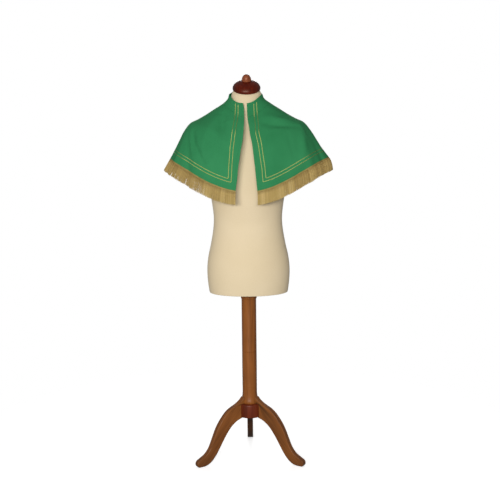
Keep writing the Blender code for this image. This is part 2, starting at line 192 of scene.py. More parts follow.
def smooth_table(rows, value):
    """Rows of a table on a smooth curve through them, at these values of its first column."""
    table = np.array(rows, float)
    value = np.asarray(value, float)
    keys = table[:, 0]
    low = np.clip(np.searchsorted(keys, value, side="right") - 1, 0, len(keys) - 2)
    step = keys[low + 1] - keys[low]
    share = ((value - keys[low]) / step)[..., None]

    def slope(at):
        before, after = np.maximum(at - 1, 0), np.minimum(at + 1, len(keys) - 1)
        return (table[after] - table[before]) * (step / (keys[after] - keys[before]))[..., None]

    square, cube = share**2, share**3
    return (
        table[low] * (2 * cube - 3 * square + 1)
        + slope(low) * (cube - 2 * square + share)
        + table[low + 1] * (3 * square - 2 * cube)
        + slope(low + 1) * (cube - square)
    )


def through(rows, count):
    """This many rows on a smooth curve through rows, which it passes at an even pace."""
    numbered = [(i, *row) for i, row in enumerate(rows)]
    return smooth_table(numbered, np.linspace(0, len(rows) - 1, count))[:, 1:]


def new_piece(name, points, faces, material, slot, *nodes):
    """A mesh piece round the post's axis, which hides the CAD nodes that it stands for. slot is not used."""
    mesh = bpy.data.meshes.new(name)
    mesh.from_pydata(np.asarray(points).tolist(), [], [list(face) for face in faces])
    work = bmesh.new()
    work.from_mesh(mesh)
    bmesh.ops.recalc_face_normals(work, faces=work.faces)
    work.to_mesh(mesh)
    work.free()
    mesh.materials.append(material)
    mesh.shade_smooth()
    mesh.set_sharp_from_angle(angle=math.radians(42))
    piece = bpy.data.objects.new(name, mesh)
    bpy.context.scene.collection.objects.link(piece)
    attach(piece, "root")
    if nodes:
        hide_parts(*nodes)
    piece.location = (0, AXIS_Y, 0)
    return piece


def store(piece, name, values):
    """One vector at each point of the piece, for its material to read."""
    stored = piece.data.attributes.new(name, "FLOAT_VECTOR", "POINT")
    stored.data.foreach_set("vector", np.asarray(values, np.float32).ravel())


def shells(points):
    """Points and faces of closed bodies with flat ends, from points by body, ring and place in the ring."""
    index = np.arange(points[..., 0].size).reshape(points.shape[:3])
    after = np.roll(index, -1, axis=2)
    walls = np.stack([index[:, :-1], after[:, :-1], after[:, 1:], index[:, 1:]], axis=-1).reshape(-1, 4)
    ends = np.concatenate([index[:, 0, ::-1], index[:, -1]])
    return points.reshape(-1, 3), [*walls.tolist(), *ends.tolist()]


def lofted(rings):
    """Points and faces of one closed body through these rings."""
    return shells(np.array([rings], float))


TURNED_COLUMNS = 96


def turned(turns):
    """Rings of a turned body round the Z axis, from (radius, height) pairs in millimetres."""
    round_it = math.tau * np.arange(TURNED_COLUMNS) / TURNED_COLUMNS
    across, ahead, level = np.cos(round_it), np.sin(round_it), np.ones(TURNED_COLUMNS)
    return [np.stack([r * across, r * ahead, height * level], axis=-1) * MM for r, height in turns]


def wood(name, pale, dark, vein, grain, lean=0.0, board=False):
    """Stained wood under satin varnish, its grain along Z, or leaning outward by an angle.

    A board is darker at the floor and where it faces down: painted shade.
    """
    finish = Finish(name)
    place = finish.place()
    leaning = {"Vector": place, "Angle": lean}
    turn = finish.node("ShaderNodeVectorRotate", {"rotation_type": "X_AXIS"}, leaning)
    wander = finish.noise(finish.scaled(turn, 1, 1, 0.25), 9.0, detail=3.0)
    x, y, z = finish.along(turn)
    bent = finish.together(x + wander * 0.02, y + wander * 0.02, z * 0.045)
    figure = finish.noise(bent, grain, detail=6.0, roughness=0.62)
    fibre = finish.noise(finish.scaled(turn, 1, 1, 0.02), 900.0, detail=3.0)
    pores = finish.noise(finish.scaled(turn, 1, 1, 0.03), 420.0, detail=1.0).over(0.64, 0.74)
    cloud = finish.noise(place, 7.0, detail=2.0)
    base = finish.ramp(figure * 0.8 + fibre * 0.2, (0.30, dark), (0.52, pale), (0.72, vein))
    base = finish.mix(cloud.over(0.35, 0.75) * 0.45, base, dark)
    base = finish.mix(pores * 0.55, base, tuple(part * 0.5 for part in dark))
    if board:
        _, _, height = finish.along(place)
        # Painted shade: darker towards the floor, in uneven patches.
        low = (1 - height.over(0.004, 0.07)) ** 1.5
        shade_colour = tuple(part * 0.45 for part in dark)
        base = finish.mix(low * (cloud * 0.6 + 0.7) * FOOT_SHADE, base, shade_colour)
        # Painted shade on the faces that look down, read from each point's normal.
        facing_down, _, _ = finish.stored("underside")
        base = finish.mix(facing_down * UNDER_SHADE, base, shade_colour)
    relief = figure * 0.3 + fibre * 0.35 - pores * 0.5
    return finish.paint(
        Base_Color=base,
        Roughness=0.36 + fibre * 0.12 + pores * 0.15,
        Specular_IOR_Level=0.22,
        Coat_Weight=0.06,
        Coat_Roughness=0.22,
        Normal=finish.bump(relief, 0.00025),
    )


GRAIN_LEAN = math.radians(42)
# Shares of painted shade: towards the floor, and where a board faces down.
FOOT_SHADE = 0.35
UNDER_SHADE = 0.9
leg_wood = wood("leg_wood", (138, 82, 36), (96, 54, 22), (154, 96, 46), 60.0, GRAIN_LEAN, board=True)

HUB_TURNS = [
    (45.5, 174.5), (47.9, 175.2), (49.1, 176.7), (49.5, 179), (49.5, 225), (48.8, 228), (46.5, 230),
]
POST_FOOT = [
    (34.5, 230.3), (35.3, 233), (35.5, 236), (34.6, 241), (33.0, 246),
    (31.6, 252), (30.8, 258), (30.0, 266), (29.5, 276),
]
SOCKET_LOW = 150  # a height below the hub
SOCKET_WIDER = 0.3

# The board's outline in its own plane, smoothed through its spots.
top, under = (through(spots, 4 * len(spots)) for spots in (LEG_TOP, LEG_UNDER[::-1]))
outline = np.concatenate([top, np.array(LEG_TOE, float), under[::-1]]) * MM

# A body as large as the room that the legs leave for the hub and the post's foot.
foot, rim = HUB_TURNS[0][0], HUB_TURNS[-1]
room = [(0.5, SOCKET_LOW), (foot + SOCKET_WIDER, SOCKET_LOW)]
room += [(radius + SOCKET_WIDER, height) for radius, height in HUB_TURNS]
room += [(radius + SOCKET_WIDER, height + SOCKET_WIDER) for radius, height in (rim, *POST_FOOT)]
socket_mesh = bpy.data.meshes.new("leg_socket")
points, faces = lofted(turned(room))
socket_mesh.from_pydata(points.tolist(), [], faces)
socket = bpy.data.objects.new("leg_socket", socket_mesh)
bpy.context.scene.collection.objects.link(socket)
socket.location = (0, AXIS_Y, 0)
for node, degrees in LEG_ANGLES.items():
    sides = [
        np.stack([np.full(len(outline), x * MM), -outline[:, 0], outline[:, 1]], axis=-1)
        for x in (-LEG_THICK / 2, LEG_THICK / 2)
    ]
    board = new_piece(node + "_board", *lofted(sides), leg_wood, "varnished_wood", node)
    board.rotation_euler = (0, 0, math.radians(degrees))
    rounding = board.modifiers.new("rounding", "BEVEL")
    rounding.width = LEG_ROUNDING * MM
    rounding.segments = 5
    rounding.limit_method = "ANGLE"
    rounding.angle_limit = math.radians(50)
    cut = board.modifiers.new("socket", "BOOLEAN")
    cut.operation = "DIFFERENCE"
    cut.object = socket
    bpy.context.view_layer.update()
    finished = bpy.data.meshes.new_from_object(board.evaluated_get(bpy.context.evaluated_depsgraph_get()))
    board.modifiers.clear()
    board.data = finished
    finished.shade_smooth()
    finished.set_sharp_from_angle(angle=math.radians(32))
    # How far each point faces down, for the painted shade under the board.
    underside = np.zeros((len(finished.vertices), 3))
    underside[:, 0] = [min(1.0, max(0.0, -4 * vertex.normal.z - 1.2)) for vertex in finished.vertices]
    store(board, "underside", underside)
bpy.data.objects.remove(socket)

# The hub: a short turned block of darker, redder wood at the foot of the post, which holds the three
# legs. The post above it is turned in one piece, with a flared foot, fine ring cuts and a plain collar.
hub_wood = wood("hub_wood", (106, 40, 15), (72, 24, 8), (118, 50, 22), 45.0)
post_wood = wood("post_wood", (150, 88, 36), (112, 64, 26), (162, 100, 46), 70.0)


def ring_cut(height, radius, depth):
    """A fine V-shaped cut round the post, with softened lips."""
    steps = [(-3, 0), (-1.6, 0.15), (-0.8, 0), (0, -depth), (0.8, 0), (1.6, 0.15), (3, 0)]
    return [(radius + lift, height + rise) for rise, lift in steps]


POST_RADIUS = 29.5
POST_TURNS = POST_FOOT + [(POST_RADIUS, 290)]
POST_TURNS += ring_cut(297, POST_RADIUS, 0.9)
POST_TURNS += [(POST_RADIUS + 0.1, 340), (POST_RADIUS + 0.15, 390), (POST_RADIUS + 0.1, 430)]
POST_TURNS += ring_cut(446, POST_RADIUS, 1.2)
POST_TURNS += [(POST_RADIUS, 520), (POST_RADIUS, 600), (POST_RADIUS, 660), (30.2, 663.4), (31.3, 664.6)]
POST_TURNS += [(32.0, 667), (32.0, 686), (31.6, 688.6), (30.8, 689.7)]
new_piece("hub_block", *lofted(turned(HUB_TURNS)), hub_wood, "varnished_wood", "hub")
new_piece("post_turning", *lofted(turned(POST_TURNS)), post_wood, "varnished_wood", "pole")

# The dress form: a limbless shell from the neck to the hips, covered with cream cotton jersey. The
# cover is drawn tight, sewn at both sides, and turned in round the bottom and under the neck's cap.
NECK_SECTIONS = [  # half width and its height, depth and height in front, and the same behind
    (57.5, 1478, 53, 1461, 54, 1494), (61, 1463, 57, 1441, 58, 1480), (62.5, 1450, 60, 1417, 60, 1464),
    (66, 1440, 63, 1396, 65, 1449), (79, 1432, 69, 1376, 74, 1434),
]
TORSO_SECTIONS = [
    (215, 1345, 116, 1206, 111, 1252), (201, 1315, 118, 1180, 110, 1222),
    (186, 1280, 119, 1152, 108, 1190), (175, 1240, 118, 1122, 104, 1155),
    (166, 1190, 114, 1085, 99, 1112), (156, 1130, 107, 1045, 93, 1062), (144, 1065, 99, 1010, 88, 1018),
    (136, 1000, 93, 975, 85, 978), (138, 950, 94, 938, 87, 940), (148, 890, 101, 886, 95, 886),
    (160, 835, 109, 834, 103, 834), (165, 785, 112, 785, 107, 785), (163, 735, 110, 735, 106, 735),
    (157, 690, 105, 690, 102, 690),
]
SHOULDER_RESTS = [  # how far down the cape, then depths and heights as above
    (18, 75, 1360, 82, 1417), (38, 82, 1342, 89, 1398), (58, 90, 1324, 95, 1378),
    (80, 97, 1303, 100, 1356), (102, 103, 1280, 105, 1332), (124, 108, 1257, 108, 1307),
    (142, 112, 1237, 110, 1286),
]
FORM_CLIMB = 0.38
FORM_COLUMNS = 108
NECK_TILT = math.radians(24)
NECK_TOP_Y = -4
NECK_TOP_Z = 1492
NECK_TOP_RADIUS = 50
NECK_ROUND = [(4, 0), (1.2, 0.2), (0, 1.4)]  # inset and drop
HEM_ROUND = [(0.0, -3.0), (0.004, -1.0), (0.02, 0.0)]  # share drawn in, and drop
CLOTH_THICK = 2.0
REST_GAP = 0.85

# The cape's outer face as rings round the body. The form's shoulders are worked out from it.
Ring = namedtuple(
    "Ring",
    "down right left side_z front front_z back back_z right_edge left_edge right_line left_line"
    " back_climb right_climb left_climb",
)
RINGS = [
    (-42, 68, 61, 1475, 71, 1439, 66, 1491, -14, 1, 22, 27, -1.00, -0.85, 0.20),
    (-26, 74, 69, 1457, 75, 1420, 70, 1476, -11, 1, 23, 27, -0.60, -0.20, 0.40),
    (0, 94, 95, 1438, 88, 1388, 83, 1448, -10, 2, 24, 27, 0.00, 0.35, 0.60),
    (40, 128, 128, 1417, 112, 1355, 105, 1417, -11, 7, 28, 25, 0.30, 0.35, 0.70),
    (81, 163, 163, 1395, 134, 1320, 120, 1379, -14, 12, 31, 22, 0.40, 0.35, 0.70),
    (114, 192, 192, 1379, 148, 1290, 129, 1345, -18, 18, 31, 22, 0.40, 0.35, 0.70),
    (147, 222, 222, 1364, 158, 1260, 135, 1311, -24, 22, 29, 23, 0.40, 0.35, 0.70),
    (185, 247, 249, 1333, 165, 1222, 141, 1269, -30, 26, 26, 24, 0.40, 0.35, 0.70),
    (220, 264, 272, 1301, 168, 1187, 146, 1229, -35, 30, 24, 25, 0.40, 0.35, 0.70),
    (260, 282, 295, 1266, 170, 1150, 151, 1180, -39, 33, 22, 25, 0.40, 0.35, 0.70),
    (305, 302, 320, 1229, 171, 1108, 155, 1125, -45, 37, 21, 25, 0.40, 0.35, 0.70),
    (320, 309, 328, 1217, 171, 1093, 156, 1108, -46, 38, 21, 25, 0.40, 0.35, 0.70),
]


def climb(angle, amount):
    """The share of a ring's climb that is done at this angle: 0 at the front or back, 1 at the sides."""
    side = np.sin(angle) ** 2
    return side * (1 + amount * (1 - side))


def ring_at(down):
    return Ring(*np.moveaxis(smooth_table(RINGS, down), -1, 0))


def smooth_cape(angle, down):
    """The cape's outer face before its folds, in millimetres round the post's axis."""
    ring = ring_at(down)
    to_right = angle < 0
    ahead = np.cos(angle) > 0
    half_width = np.where(to_right, ring.right, ring.left)
    depth = np.where(ahead, ring.front, ring.back)
    end_z = np.where(ahead, ring.front_z, ring.back_z)
    amount = np.where(ahead, np.where(to_right, ring.right_climb, ring.left_climb), ring.back_climb)
    height = end_z + (ring.side_z - end_z) * climb(angle, amount)
    return np.stack([half_width * np.sin(angle), -depth * np.cos(angle), height], axis=-1)


def form_rings():
    """Rings of the form from the neck's flat top down, close together and smooth."""
    angles = math.tau * np.arange(FORM_COLUMNS) / FORM_COLUMNS
    rows = list(NECK_SECTIONS)
    for down, *depths in SHOULDER_RESTS:
        under = cape_place(math.pi / 2, down, -CLOTH_THICK - REST_GAP)
        rows.append((under[0], under[2], *depths))
    rows += TORSO_SECTIONS
    rings = []
    for half_width, side_z, front, front_z, back, back_z in through(rows, 6 * len(rows) - 5):
        ahead = np.cos(angles) > 0
        depth, end_z = np.where(ahead, front, back), np.where(ahead, front_z, back_z)
        height = end_z + (side_z - end_z) * climb(angles, FORM_CLIMB)
        rings.append(np.stack([half_width * np.sin(angles), -depth * np.cos(angles), height], axis=-1))
    tilt = np.array(Matrix.Rotation(NECK_TILT, 3, "X"))
    flat = np.stack([np.sin(angles), -np.cos(angles), np.zeros(FORM_COLUMNS)], axis=-1) @ tilt.T
    middle = np.array([0, NECK_TOP_Y, NECK_TOP_Z])
    tops = [flat * (NECK_TOP_RADIUS - inset) + middle - [0, 0, drop] for inset, drop in NECK_ROUND]
    last = rings[-1]
    turn_in = [np.array([1 - pull, 1 - pull, 1]) * last - [0, 0, drop] for pull, drop in HEM_ROUND]
    return np.array(tops + rings[:-1] + turn_in) * MM


# Soft folds of the hanging cloth, each along a line from one place on the cape to another, and narrower
# creases between them. Angles are in degrees from the front; all else is in millimetres.
Fold = namedtuple("Fold", "angle_top down_top angle_end down_end width height")
FOLDS = [
    (-66, 110, -50, 305, 24, -8), (-76, 140, -67, 305, 22, 6.5), (-36, 180, -31, 305, 26, 4.5),
    (60, 120, 49, 305, 24, 7.5), (73, 150, 66, 305, 22, -6.5), (30, 190, 26, 305, 26, -3.5),
    (30, 20, 66, 124, 14, 4.4), (18, 28, 66, 172, 12, -4.6), (-70, 136, -22, 108, 24, 4.5),
    (68, 134, 38, 302, 17, 4.6), (97, 158, 84, 304, 24, -6), (-110, 140, -116, 305, 25, -8),
    (-132, 160, -137, 305, 27, 7.5), (-156, 130, -160, 305, 28, -7), (178, 140, 177, 305, 30, 7),
    (154, 150, 153, 305, 27, -8), (130, 140, 127, 305, 28, 8), (109, 160, 105, 305, 24, -7.5),
]
CREASES = [
    (-64, 160, -30, 266, 11, -4.5), (-70, 148, -44, 270, 10, 2.8), (-84, 165, -70, 285, 13, -2.2),
    (-50, 12, -25, 130, 17, -8), (-58, 40, -40, 170, 20, 3), (-154, 26, -112, 126, 14, 4),
    (-164, 40, -112, 176, 12, -4.2), (-112, 136, -142, 302, 16, 4.2), (150, 22, 114, 108, 13, 3.6),
    (160, 62, 118, 168, 12, -3.8), (120, 138, 147, 300, 15, -4), (-174, 96, -188, 262, 14, 3),
    (176, 14, 150, 60, 12, -2), (-24, 20, -46, 92, 7, 1), (-33, 12, -70, 60, 8, -0.8),
    (-48, 120, -40, 236, 9, 1.3), (-57, 170, -47, 262, 7, -1.2), (-26, 120, -22, 240, 8, 0.9),
    (-82, 120, -88, 255, 8, -1.1), (-14, 60, -13, 190, 6, -0.5), (22, 84, 50, 128, 8, 1.2),
    (34, 60, 74, 78, 7, -0.9), (44, 130, 38, 250, 9, -1.1), (66, 120, 60, 240, 8, 1.2),
    (84, 110, 88, 250, 9, 1), (16, 110, 14, 230, 7, 0.7), (-100, 60, -104, 190, 9, 1),
    (-122, 90, -124, 230, 9, -1.2), (-145, 100, -148, 250, 10, 1.2), (168, 90, 166, 240, 9, -1.1),
    (-170, 70, -171, 210, 8, 0.9), (142, 100, 140, 250, 9, 1.1), (118, 70, 116, 220, 9, -1),
    (98, 80, 96, 230, 8, 0.9),
]
FOLD_RADIUS = 95
FOLD_RADIUS_GROWTH = 0.68
FOLD_SWELL = 1.3
CAPE_LENGTH = 305


def fold_height(angle, down):
    radius = FOLD_RADIUS + FOLD_RADIUS_GROWTH * down
    height = np.zeros_like(radius)
    for fold in (Fold(*row) for row in FOLDS + CREASES):
        lean = math.radians(fold.angle_end - fold.angle_top)
        run = np.stack([lean * radius, np.full_like(radius, fold.down_end - fold.down_top)])
        turn = (angle - math.radians(fold.angle_top) + math.pi) % math.tau - math.pi
        place = np.stack([turn * radius, down - fold.down_top])
        along = (place * run).sum(0) / (run * run).sum(0)
        across = np.hypot(*(place - run * along))
        along = np.clip(along, 0, 1)
        reaches_hem = fold.down_end >= CAPE_LENGTH
        strength = along**FOLD_SWELL if reaches_hem else np.sin(math.pi * along)
        height += fold.height * strength * np.exp(-((across / fold.width) ** 2))
    return height


def normals_of(surface, angle, down):
    turn, reach = math.radians(0.4), 0.5
    across = surface(angle + turn, down) - surface(angle - turn, down)
    along = surface(angle, down + reach) - surface(angle, down - reach)
    out = np.cross(along, across)
    return out / np.linalg.norm(out, axis=-1, keepdims=True)


def folded_cape(angle, down):
    out = normals_of(smooth_cape, angle, down)
    return smooth_cape(angle, down) + out * fold_height(angle, down)[..., None]


def cape_place(angle, down, out):
    """Places of the cape, out millimetres proud of its outer face, round the post's axis."""
    angle, down = np.broadcast_arrays(np.asarray(angle, float), np.asarray(down, float))
    out = np.broadcast_to(out, angle.shape)[..., None]
    return folded_cape(angle, down) + normals_of(folded_cape, angle, down) * out


# Fine cream cotton jersey, its wales upright and its courses level.
finish = Finish("cream_jersey")
place = finish.place()
x, y, z = finish.along(place)
round_it = x.maths("ARCTAN2", x, y)
wales = (round_it * 340.0 + (z * 2900.0).sine() * 0.6).sine()
courses = (z * 5800.0).sine()
felt = finish.noise(place, 260.0, detail=3.0)
cloud = finish.noise(place, 5.0, detail=2.0)
colour = finish.mix(cloud.over(0.3, 0.7), (228, 208, 170), (236, 217, 182))
colour = finish.mix(felt * 0.25, colour, (204, 182, 140))
seam = 1 - y.size().over(0.0004, 0.0016)
colour = finish.mix(seam * z.over(0.5, 0.8) * 0.35, colour, (168, 148, 108))
relief = wales * 0.35 + courses * 0.2 + felt * 0.8 - seam * 1.5
cream_jersey = finish.paint(
    Base_Color=colour,
    Roughness=0.86 + felt * 0.1,
    Sheen_Weight=0.15,
    Sheen_Roughness=0.5,
    Normal=finish.bump(relief, 0.0002, 0.7),
)
new_piece("form_cover", *lofted(form_rings()), cream_jersey, "cream_jersey", "dress_form")

# The neck's cap: a low dome of turned mahogany with a round knob of paler wood, under a thin varnish. It
# is screwed down on the flat top of the neck, which leans forward.
CAP_TURNS = [
    (49.8, 0.3), (51.6, 0.6), (53.4, 1.8), (54.3, 4.5), (54, 8.5), (52.6, 13), (50, 17.5),
    (46.2, 22), (41, 26), (34.5, 29.4), (27, 32.2), (20, 34.2), (15.2, 35.6),
]
KNOB_TURNS = [
    (16.2, 35.9), (16.8, 36), (18.2, 37.2), (18.4, 40), (17.8, 44),
    (16.6, 48.5), (14.2, 53.5), (10.4, 58.2), (4.8, 61.2), (0.3, 61.8),
]


def turned_wood(name, dark, middle, light, roughness, coat):
    """Turned and varnished wood, its grain across the piece, with fine rings left by the chisel."""
    finish = Finish(name)
    place = finish.place()
    x, y, z = finish.along(place)
    figure = finish.noise(finish.scaled(place, 1, 0.16, 1), 85.0, detail=5.0, roughness=0.6)
    streak = finish.noise(finish.scaled(place, 1, 0.05, 1), 420.0, detail=2.0)
    rings = ((x * x + y * y) ** 0.5 * 5200.0).sine() * 0.5 + (z * 4200.0).sine() * 0.5
    base = finish.ramp(figure * 0.75 + streak * 0.25, (0.32, dark), (0.52, middle), (0.74, light))
    return finish.paint(
        Base_Color=base,
        Roughness=roughness + streak * 0.1,
        Specular_IOR_Level=0.35,
        Specular_Tint=(255, 196, 160),
        Coat_Weight=coat,
        Coat_Roughness=0.3,
        Normal=finish.bump(rings * 0.2 + streak * 0.4, 0.0001),
    )


cap_wood = turned_wood("mahogany", (52, 9, 2), (84, 17, 4), (110, 36, 12), 0.36, 0.12)
knob_wood = turned_wood("knob_wood", (96, 49, 28), (138, 74, 46), (163, 97, 63), 0.3, 0.12)
for name, turns, node, material in (
    ("cap_dome", CAP_TURNS, "neck_cap", cap_wood),
    ("cap_knob", KNOB_TURNS, "neck_knob", knob_wood),
):
    profile = through(turns, 4 * len(turns) - 3)
    piece = new_piece(name, *lofted(turned(profile)), material, "mahogany", node)
    piece.location = (0, AXIS_Y + NECK_TOP_Y * MM, NECK_TOP_Z * MM)
    piece.rotation_euler = (NECK_TILT, 0, 0)

# The cape: two fronts and a back of green plain-weave cloth, joined at the shoulders, and a stand
# collar sewn to the neck. The open edges and the hem are turned in and stitched down by machine.
CLOTH_HALF = 0.75
EDGE_STEPS = np.array([0, 0.1, 0.35, 0.75, 1.4, 2.4, 4.0, 6.0, 7.6, 8.4, 8.9, 9.4, 10.2, 12.0])
STITCH_INSET = 8.9
HEM_LIFT = 0.35
STITCH_DIP = 0.4
SEAM_DIP = 0.7
SEAM_GAP = 0.3
PUCKER = 0.16
GRID_STEP = 3.2
FRONT_COLUMNS = 134
BACK_COLUMNS = 269
COLLAR_COLUMNS = 170
COLLAR_TOP = -42
CUT_RADIUS = 182


def spaced(start, end, start_steps, end_steps, count):
    """Numbers from start to end: start_steps after the one, end_steps before the other, even between."""
    first = start + start_steps
    last = (end - end_steps)[..., ::-1]
    share = np.linspace(0, 1, count + 2)[1:-1]
    between = first[..., -1:] + (last[..., :1] - first[..., -1:]) * share
    return np.concatenate([first, between, last], axis=-1)


def at_inset(side, inset, down):
    """The angle of a place this far from an open front edge."""
    ring = ring_at(down)
    edge, half_width = (-ring.right_edge, ring.right) if side < 0 else (ring.left_edge, ring.left)
    return side * (np.arcsin(edge / half_width) + inset / half_width)


def edge_lift(inset, is_seam):
    """How far the outer face rises above or dips below its level near an edge."""
    if is_seam:
        return -SEAM_DIP * np.exp(-((inset / 1.3) ** 2))
    stitch = -STITCH_DIP * np.exp(-(((inset - STITCH_INSET) / 0.7) ** 2))
    return HEM_LIFT * np.clip((STITCH_INSET + 1.6 - inset) / 2.0, 0, 1) + stitch


def edge_round(inset):
    """Half the cloth's thickness, rounded off to nothing at its edge."""
    left = np.clip(1 - inset / CLOTH_HALF, 0, 1)
    return CLOTH_HALF * np.sqrt(1 - left**2)


def cloth_panel(name, node, downs, ends, reaches, count, seams):
    """A closed sheet of cloth between two lines of angles, with a rim all round.

    ends holds the angles of both lines at each down, and reaches the millimetres of an angle there, minus
    where angles fall. seams says of both lines, the first row and the last one whether it is a seam.
    """
    start, end = (line[:, None] for line in ends)
    start_reach, end_reach = (reach[:, None] for reach in reaches)
    angle = spaced(start, end, EDGE_STEPS / start_reach, EDGE_STEPS / end_reach, count)
    down = np.repeat(downs[:, None], angle.shape[1], axis=1)
    insets = [(angle - start) * start_reach, (end - angle) * end_reach, down - down[0], down[-1] - down]
    angle = np.where(np.abs(angle) > math.pi, angle - np.copysign(math.tau, angle), angle)
    lift = sum(edge_lift(inset, is_seam) for inset, is_seam in zip(insets, seams))
    nearest = np.minimum.reduce(insets)
    half = edge_round(nearest)
    pucker = PUCKER * np.sin(down * 0.55 + angle * 31) * np.sin(angle * 57 + down * 0.21)
    lift = lift + pucker * np.exp(-nearest / 9)
    rows, columns = angle.shape
    outer = cape_place(angle, down, -CLOTH_HALF + half + lift * np.clip(nearest / CLOTH_HALF, 0, 1))
    inner = cape_place(angle, down, -CLOTH_HALF - half)
    index = np.arange(rows * columns).reshape(rows, columns)
    inside = np.zeros_like(index, bool)
    inside[1:-1, 1:-1] = True
    under = index.copy()
    under[inside] = rows * columns + np.arange(inside.sum())
    quads = [
        np.stack([grid[:-1, :-1], grid[:-1, 1:], grid[1:, 1:], grid[1:, :-1]], axis=-1).reshape(-1, 4)
        for grid in (index, under[:, ::-1])
    ]
    points = np.concatenate([outer.reshape(-1, 3), inner[inside]]) * MM
    piece = new_piece(name, points, np.concatenate(quads), cloth, "green_cloth", node)

    steps = np.linalg.norm(np.diff(outer, axis=1), axis=-1)
    reach = np.concatenate([np.zeros((rows, 1)), np.cumsum(steps, axis=1)], axis=1)
    if all(seams[:2]):
        reach -= reach[:, columns // 2, None]
    spread = CUT_RADIUS + down
    cut = np.stack([spread * np.sin(reach / spread), spread * np.cos(reach / spread), 0 * down], axis=-1)
    store(piece, "cut", np.concatenate([cut.reshape(-1, 3), cut[inside]]) * MM)
    return piece


# Green plain-weave cloth, a little uneven in its yarns, with a faint sheen.
finish = Finish("green_cloth")
x, y, _ = finish.stored("cut")
pitch = 0.0011
warp = (x * (math.tau / pitch)).sine()
weft = (y * (math.tau / pitch)).sine()
weave = warp * weft * 0.6 + warp.size() * 0.2 + weft.size() * 0.2
warp_yarn = finish.noise(finish.together(x * 1400.0, y * 22.0), 1.0, detail=2.0)
weft_yarn = finish.noise(finish.together(x * 22.0, y * 1400.0), 1.0, detail=2.0)
slub = warp_yarn * 0.5 + weft_yarn * 0.5
nap = finish.noise(finish.place(), 700.0, detail=2.0)
cloud = finish.noise(finish.place(), 8.0, detail=3.0)
colour = finish.mix(cloud.over(0.3, 0.7), (42, 127, 76), (52, 139, 86))
colour = finish.mix(slub.over(0.35, 0.65) * 0.35, colour, (60, 150, 98))
# Painted shade in the weave's hollows: darker between the yarns.
colour = finish.mix((1 - weave).over(0.55, 1.1) * 0.3, colour, (24, 84, 48))
relief = weave * 0.5 + slub * 0.9 + nap * 0.5
cloth = finish.paint(
    Base_Color=colour,
    Roughness=0.78 + nap * 0.12,
    Specular_IOR_Level=0.18,
    Sheen_Weight=0.1,
    Sheen_Roughness=0.4,
    Sheen_Tint=(90, 200, 130),
    Normal=finish.bump(relief, 0.00025, 0.8),
)


def rows_between(top, bottom):
    count = max(2, round((bottom - top - 2 * EDGE_STEPS[-1]) / GRID_STEP))
    return spaced(np.array([top]), np.array([bottom]), EDGE_STEPS, EDGE_STEPS, count).ravel()


downs = rows_between(SEAM_GAP / 2, CAPE_LENGTH)
ring = ring_at(downs)
depth = (ring.front + ring.back) / 2
gap = SEAM_GAP / 2 / depth
fronts = []
for side, half_width, part in ((-1, ring.right, "right"), (1, ring.left, "left")):
    ends = at_inset(side, 0, downs), side * (math.pi / 2 - gap)
    reaches = side * half_width, side * depth
    names = part + "_front_cloth", "front_panel_" + part
    fronts.append(cloth_panel(*names, downs, ends, reaches, FRONT_COLUMNS, (False, True, True, False)))
right_front, left_front = fronts
ends = math.pi / 2 + gap, 1.5 * math.pi - gap
seams = (True, True, True, False)
back = cloth_panel("back_cloth", "back_panel", downs, ends, (depth, depth), BACK_COLUMNS, seams)

# The stand collar: one strip from edge to edge round the back of the neck.
downs = rows_between(COLLAR_TOP, -SEAM_GAP / 2)
ring = ring_at(downs)
ends = at_inset(-1, 0, downs), at_inset(1, 0, downs) - math.tau
reaches = -ring.right, -ring.left
seams = (False, False, False, True)
stand_collar = cloth_panel("collar_cloth", "collar_band", downs, ends, reaches, COLLAR_COLUMNS, seams)

# The braid: two lines of narrow gold soutache, sewn flat up both open fronts and round above the hem.
# Soutache is plaited over two cores, so that it has two round sides and a groove, where the stitches run.
BRAID_WIDTH = 2.8
BRAID_THICK = 0.95
BRAID_PITCH = 12
BRAID_ABOVE_HEM = 30
BRAID_TOP = -32.5
BRAID_STEP = 1.1
BRAID_CORNER = 3.2
# Across, in half widths, and up, in thicknesses, from one edge to the groove.
BRAID_HALF = [(-1.0, 0.0), (-0.98, 0.42), (-0.80, 0.80), (-0.50, 1.00), (-0.20, 0.80), (0.0, 0.45)]
BRAID_PROFILE = BRAID_HALF + [(-across, up) for across, up in BRAID_HALF[-2::-1]]


def wrapped(angle):
    return (angle + math.pi) % math.tau - math.pi


def line_angle(side, down, inset):
    """The angle of the outer line of braid, or of a place this far in from it."""
    ring = ring_at(down)
    return at_inset(side, (ring.right_line if side < 0 else ring.left_line) + inset, down)


def u_line(pitch_in):
    """Angles and downs of a line up one front, round above the hem and up the other, pitch_in further in."""
    corner = CAPE_LENGTH - BRAID_ABOVE_HEM - pitch_in
    rise = np.linspace(BRAID_TOP, corner - BRAID_CORNER, 600)
    turn = np.linspace(0, math.pi / 2, 12)[1:-1]
    side_down = np.concatenate([rise, corner - BRAID_CORNER * (1 - np.sin(turn))])
    inset = pitch_in + np.concatenate([np.zeros_like(rise), BRAID_CORNER * (1 - np.cos(turn))])
    right, left = (line_angle(side, side_down, inset) for side in (-1, 1))
    start, end = (line_angle(side, corner, pitch_in + BRAID_CORNER) for side in (-1, 1))
    level = np.linspace(start, end - math.tau, 3000)
    angles = np.concatenate([right, level, left[::-1] - math.tau])
    downs = np.concatenate([side_down, np.full(len(level), float(corner)), side_down[::-1]])
    return angles, downs


def distances(points):
    """How far along a line of points each one lies."""
    return np.concatenate([[0], np.cumsum(np.linalg.norm(np.diff(points, axis=0), axis=1))])


def even_steps(angles, downs, step):
    """The same line, with its places an even step apart on the cloth."""
    reach = distances(cape_place(wrapped(angles), downs, 0.0))
    even = np.linspace(0, reach[-1], round(reach[-1] / step) + 1)
    return wrapped(np.interp(even, reach, angles)), np.interp(even, reach, downs), even


